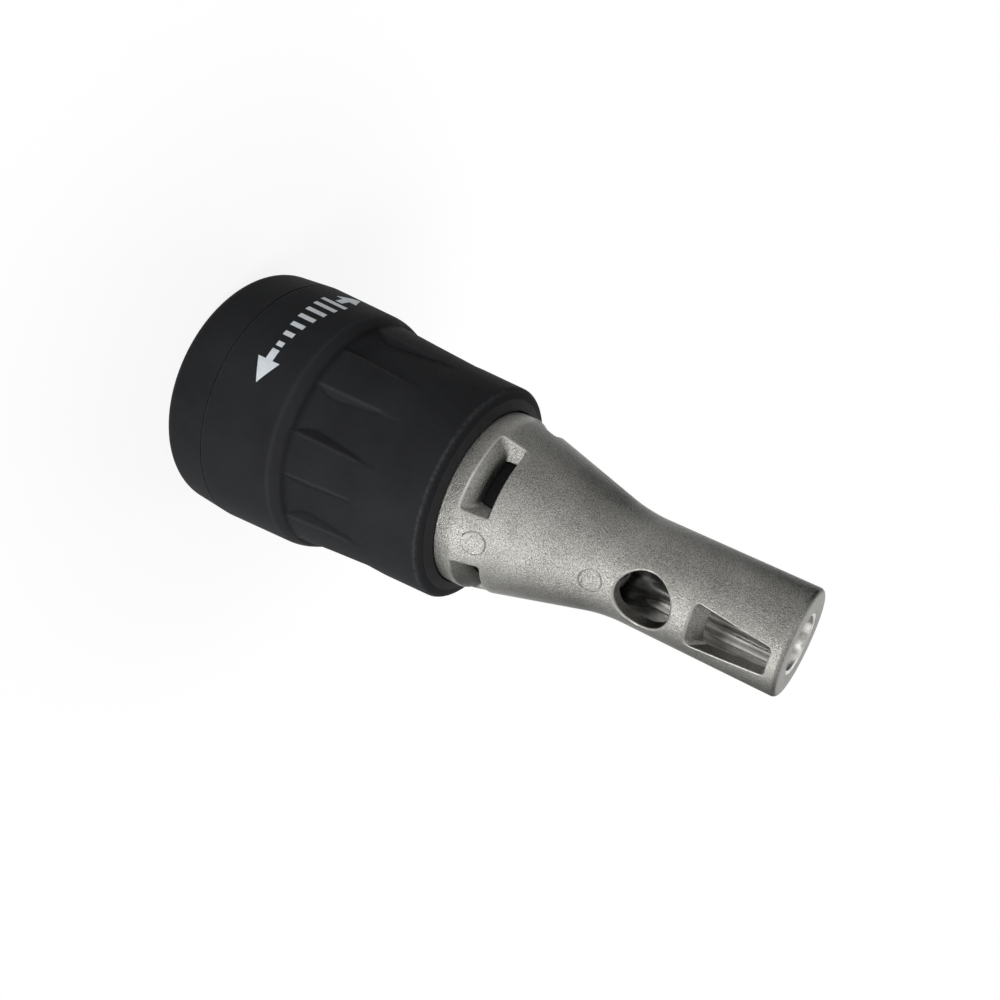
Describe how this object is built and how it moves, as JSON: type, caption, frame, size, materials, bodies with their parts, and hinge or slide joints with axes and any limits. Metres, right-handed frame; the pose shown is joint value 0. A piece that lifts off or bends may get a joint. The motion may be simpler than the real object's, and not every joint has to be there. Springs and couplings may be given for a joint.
{
  "type": "depth-stop nose attachment",
  "caption": "Depth-stop nose attachment of a drywall screwdriver: ribbed black adjusting ring, lock collar and slotted cast nose with windows round a sprung clutch spindle.",
  "frame": {"origin": "centre of the rear mounting face, which the part stands on", "axes": "+Z along the tool axis towards the nose, -Y the side with the two windows"},
  "size_m": [0.048, 0.048, 0.1168],
  "materials": {
    "grip_plastic": "matt black moulded plastic with a fine grain",
    "frame_plastic": "black glass-filled plastic",
    "cast_metal": "satin bead-blasted casting",
    "tool_steel": "turned and hardened steel",
    "spring_steel": "oiled spring steel",
    "bush_bronze": "sintered bronze",
    "seal_rubber": "matt rubber",
    "magnet": "nickel-plated magnet"
  },
  "bodies": {
    "housing": {"coupling_housing": "frame_plastic", "collar_circlip": "spring_steel", "ring_circlip": "spring_steel", "dog_circlip": "spring_steel", "seal_circlip": "spring_steel", "ring_washer": "spring_steel", "rear_bush": "bush_bronze", "dog_washer": "spring_steel", "spindle_washer": "spring_steel", "front_bush": "bush_bronze", "dust_seal": "seal_rubber", "detent_balls": "tool_steel", "detent_springs": "spring_steel"},
    "lock_collar": {"lock_collar": "grip_plastic"},
    "lock_pin_1": {"lock_pin_1": "tool_steel"},
    "lock_pin_2": {"lock_pin_2": "tool_steel"},
    "lock_pin_3": {"lock_pin_3": "tool_steel"},
    "adjusting_ring": {"adjusting_ring": "grip_plastic", "thread_sleeve": "bush_bronze", "wiper_ring": "seal_rubber"},
    "nose_carrier": {"nose_carrier": "frame_plastic", "carrier_o_ring": "seal_rubber"},
    "nose": {"nose_sleeve": "cast_metal"},
    "drive": {"drive_dog": "tool_steel", "clutch_spring": "spring_steel"},
    "spindle": {"spindle": "tool_steel", "bit_socket": "tool_steel", "bit_magnet": "magnet", "bit_clip": "spring_steel"}
  },
  "joints": [
    {"name": "collar_twist", "type": "hinge", "parent": "housing", "child": "lock_collar", "pos_m": [0, 0, 0.005], "axis": [0, 0, 1], "range_deg": [0, 36]},
    {"name": "ring_turn", "type": "hinge", "parent": "housing", "child": "adjusting_ring", "pos_m": [0, 0, 0.0173], "axis": [0, 0, 1], "range_deg": [-180, 180]},
    {"name": "carrier_feed", "type": "slide", "parent": "housing", "child": "nose_carrier", "axis": [0, 0, 1], "range_m": [-0.003, 0.003]},
    {"name": "nose_pull", "type": "slide", "parent": "nose_carrier", "child": "nose", "axis": [0, 0, 1], "range_m": [0, 0.036]},
    {"name": "drive_spin", "type": "hinge", "parent": "housing", "child": "drive", "pos_m": [0, 0, 0.0215], "axis": [0, 0, 1], "continuous": true},
    {"name": "spindle_press", "type": "slide", "parent": "drive", "child": "spindle", "axis": [0, 0, 1], "range_m": [-0.002, 0], "stiffness_N_per_m": 1500, "springref_m": 0.004, "deforming": ["clutch_spring"]},
    {"name": "lock_pin_1_slide", "type": "slide", "parent": "housing", "child": "lock_pin_1", "axis": [0, -1, 0], "range_m": [-0.0012, 0]},
    {"name": "lock_pin_2_slide", "type": "slide", "parent": "housing", "child": "lock_pin_2", "axis": [0.866, 0.5, 0], "range_m": [-0.0012, 0]},
    {"name": "lock_pin_3_slide", "type": "slide", "parent": "housing", "child": "lock_pin_3", "axis": [-0.866, 0.5, 0], "range_m": [-0.0012, 0]}
  ],
  "couplings": [
    {"joint": "carrier_feed", "follows": "ring_turn", "m_per_rad": -0.00095492},
    {"joint": "lock_pin_1_slide", "follows": "collar_twist", "m_per_rad": -0.0019098},
    {"joint": "lock_pin_2_slide", "follows": "collar_twist", "m_per_rad": -0.0019098},
    {"joint": "lock_pin_3_slide", "follows": "collar_twist", "m_per_rad": -0.0019098}
  ]
}
